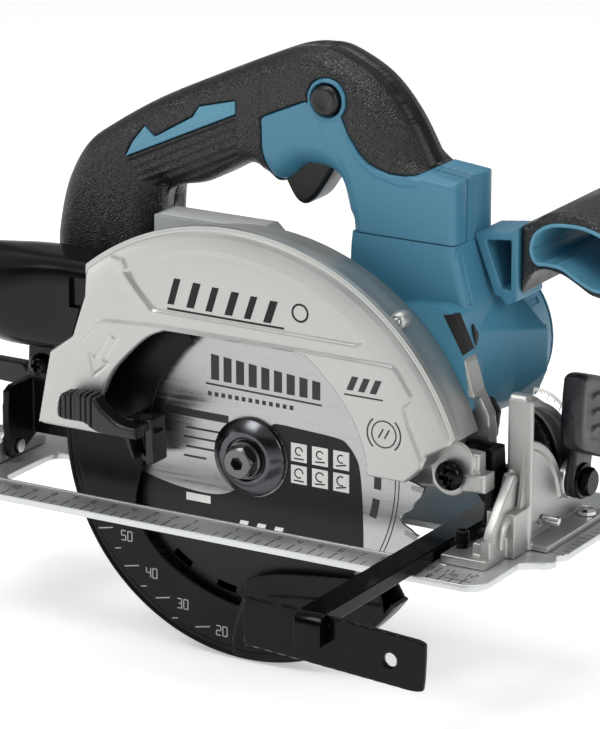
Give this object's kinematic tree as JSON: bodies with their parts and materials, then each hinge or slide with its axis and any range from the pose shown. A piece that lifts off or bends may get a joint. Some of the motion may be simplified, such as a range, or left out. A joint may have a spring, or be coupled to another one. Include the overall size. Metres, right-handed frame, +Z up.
{
  "type": "circular saw",
  "caption": "Cordless circular saw with a tilting sole plate, swinging lower guard, depth guide, geared motor, pistol handle and front grip.",
  "frame": {"origin": "centre of the sole plate's outline, on the underside that rests on the work", "axes": "+X towards the front of the saw (cutting direction), +Y from the blade side to the motor side, +Z up from the sole"},
  "size_m": [0.3435, 0.242, 0.2589],
  "materials": {
    "base_plate": "bright zinc plate",
    "bevel_bracket": "satin die casting",
    "bevel_stop_pin": "bright plated steel",
    "front_hinge_pin": "bright plated steel",
    "bracket_rivet": "bright plated steel",
    "rear_bracket": "satin die casting",
    "rear_hinge_pin": "bright plated steel",
    "rear_rivet": "bright plated steel",
    "fence_clamp_screw": "bright plated steel",
    "fence_bar": "gloss black",
    "fence_plate": "gloss black",
    "tilt_front": "black oxide on steel",
    "tilt_rear_guide": "black oxide on steel",
    "bevel_clamp_bolt": "gloss black",
    "bevel_clamp_washer": "bright zinc plate",
    "depth_pivot_pin": "gloss black",
    "bevel_clamp_lever": "moulded black plastic",
    "blade_case": "satin die casting",
    "case_screw": "bright plated steel",
    "nozzle_screw": "gloss black",
    "dust_nozzle": "gloss black plastic",
    "gear_case": "satin die casting",
    "hub_retainer": "bright zinc plate",
    "gear_cover": "moulded black plastic",
    "motor_housing": "moulded blue-green plastic",
    "motor_end_cap": "moulded blue-green plastic",
    "battery_housing": "moulded blue-green plastic",
    "control_board": "potted circuit board",
    "terminal_block": "moulded black plastic",
    "handle_near": "grained over-moulded rubber",
    "handle_far": "grained over-moulded rubber",
    "handle_screw": "bright plated steel",
    "switch_body": "moulded black plastic",
    "top_cover": "moulded grey plastic",
    "front_grip_sleeve": "grained over-moulded rubber",
    "front_grip_core": "moulded blue-green plastic",
    "grip_bracket": "moulded black plastic",
    "depth_bolt": "black oxide on steel",
    "depth_nut": "black oxide on steel",
    "motor_stator": "copper windings in a steel core",
    "motor_bearing_front": "machined steel",
    "motor_bearing_rear": "machined steel",
    "spindle_bearing": "machined steel",
    "saw_blade": "brushed blade steel",
    "inner_flange": "black oxide on steel",
    "outer_flange": "black oxide on steel",
    "blade_bolt": "black oxide on steel",
    "spindle": "machined steel",
    "spindle_gear": "machined steel",
    "lower_guard": "black oxide on steel",
    "guard_lever": "moulded black plastic",
    "motor_rotor": "machined steel",
    "motor_pinion": "machined steel",
    "motor_fan": "moulded black plastic",
    "idler_gear": "machined steel",
    "trigger": "moulded black plastic",
    "lock_off_button": "moulded black plastic",
    "depth_lever": "moulded black plastic",
    "shaft_lock_button": "moulded black plastic"
  },
  "bodies": {
    "base": {"base_plate": "base_plate", "bevel_bracket": "bevel_bracket", "bevel_stop_pin": "bevel_stop_pin", "front_hinge_pin": "front_hinge_pin", "bracket_rivet": "bracket_rivet", "rear_bracket": "rear_bracket", "rear_hinge_pin": "rear_hinge_pin", "rear_rivet": "rear_rivet"},
    "fence_screw": {"fence_clamp_screw": "fence_clamp_screw"},
    "fence": {"fence_bar": "fence_bar", "fence_plate": "fence_plate"},
    "tilt": {"tilt_front": "tilt_front", "tilt_rear_guide": "tilt_rear_guide", "bevel_clamp_bolt": "bevel_clamp_bolt", "bevel_clamp_washer": "bevel_clamp_washer", "depth_pivot_pin": "depth_pivot_pin"},
    "clamp_lever": {"bevel_clamp_lever": "bevel_clamp_lever"},
    "spindle": {"saw_blade": "saw_blade", "inner_flange": "inner_flange", "outer_flange": "outer_flange", "blade_bolt": "blade_bolt", "spindle": "spindle", "spindle_gear": "spindle_gear"},
    "guard": {"lower_guard": "lower_guard", "guard_lever": "guard_lever"},
    "rotor": {"motor_rotor": "motor_rotor", "motor_pinion": "motor_pinion", "motor_fan": "motor_fan"},
    "idler": {"idler_gear": "idler_gear"},
    "trigger": {"trigger": "trigger"},
    "lock_off": {"lock_off_button": "lock_off_button"},
    "depth_lever": {"depth_lever": "depth_lever"},
    "shaft_lock": {"shaft_lock_button": "shaft_lock_button"},
    "head": {"blade_case": "blade_case", "case_screw": "case_screw", "nozzle_screw": "nozzle_screw", "dust_nozzle": "dust_nozzle", "gear_case": "gear_case", "hub_retainer": "hub_retainer", "gear_cover": "gear_cover", "motor_housing": "motor_housing", "motor_end_cap": "motor_end_cap", "battery_housing": "battery_housing", "control_board": "control_board", "terminal_block": "terminal_block", "handle_near": "handle_near", "handle_far": "handle_far", "handle_screw": "handle_screw", "switch_body": "switch_body", "top_cover": "top_cover", "front_grip_sleeve": "front_grip_sleeve", "front_grip_core": "front_grip_core", "grip_bracket": "grip_bracket", "depth_bolt": "depth_bolt", "depth_nut": "depth_nut", "motor_stator": "motor_stator", "motor_bearing_front": "motor_bearing_front", "motor_bearing_rear": "motor_bearing_rear", "spindle_bearing": "spindle_bearing"}
  },
  "joints": [
    {"name": "bevel", "type": "hinge", "parent": "base", "child": "tilt", "pos_m": [0.005, -0.0238, 0.01], "axis": [1, 0, 0], "range_deg": [0, 45]},
    {"name": "depth", "type": "hinge", "parent": "tilt", "child": "head", "pos_m": [0.104, 0, 0.037], "axis": [0, 1, 0], "range_deg": [0, 30]},
    {"name": "guard_swing", "type": "hinge", "parent": "head", "child": "guard", "pos_m": [0.005, -0.0268, 0.026], "axis": [0, 1, 0], "range_deg": [0, 130], "stiffness_Nm_per_rad": 0.12, "springref_deg": -51.57},
    {"name": "spindle_spin", "type": "hinge", "parent": "head", "child": "spindle", "pos_m": [0.005, -0.0268, 0.026], "axis": [0, 1, 0], "continuous": true},
    {"name": "idler_spin", "type": "hinge", "parent": "head", "child": "idler", "pos_m": [0.032, -0.0068, 0.044], "axis": [0, 1, 0], "continuous": true},
    {"name": "rotor_spin", "type": "hinge", "parent": "head", "child": "rotor", "pos_m": [0.06, 0.0132, 0.066], "axis": [0, 1, 0], "continuous": true},
    {"name": "trigger_pull", "type": "hinge", "parent": "head", "child": "trigger", "pos_m": [0.031, 0.0102, 0.152], "axis": [0, 1, 0], "range_deg": [0, 13], "stiffness_Nm_per_rad": 0.25, "springref_deg": -20.05},
    {"name": "lock_off_push", "type": "slide", "parent": "head", "child": "lock_off", "axis": [0, 1, 0], "range_m": [-0.003, 0.003], "stiffness_N_per_m": 400},
    {"name": "shaft_lock_push", "type": "slide", "parent": "head", "child": "shaft_lock", "axis": [0, -1, 0], "range_m": [0, 0.0035], "stiffness_N_per_m": 600, "springref_m": -0.004},
    {"name": "depth_lever_turn", "type": "hinge", "parent": "head", "child": "depth_lever", "pos_m": [-0.05252, -0.0028, 0.02468], "axis": [0, 1, 0], "range_deg": [0, 32]},
    {"name": "clamp_lever_turn", "type": "hinge", "parent": "tilt", "child": "clamp_lever", "pos_m": [0.133, 0.02126, 0.02335], "axis": [1, 0, 0], "range_deg": [-55, 0]},
    {"name": "fence_slide", "type": "slide", "parent": "base", "child": "fence", "axis": [0, 1, 0], "range_m": [-0.06, 0.06]},
    {"name": "fence_screw_turn", "type": "hinge", "parent": "base", "child": "fence_screw", "pos_m": [0.109, -0.0348, 0.008], "axis": [0, 0, 1], "range_deg": [0, 360]}
  ],
  "couplings": [
    {"joint": "idler_spin", "follows": "spindle_spin", "ratio": -1.4242},
    {"joint": "rotor_spin", "follows": "spindle_spin", "ratio": 4.4735}
  ]
}
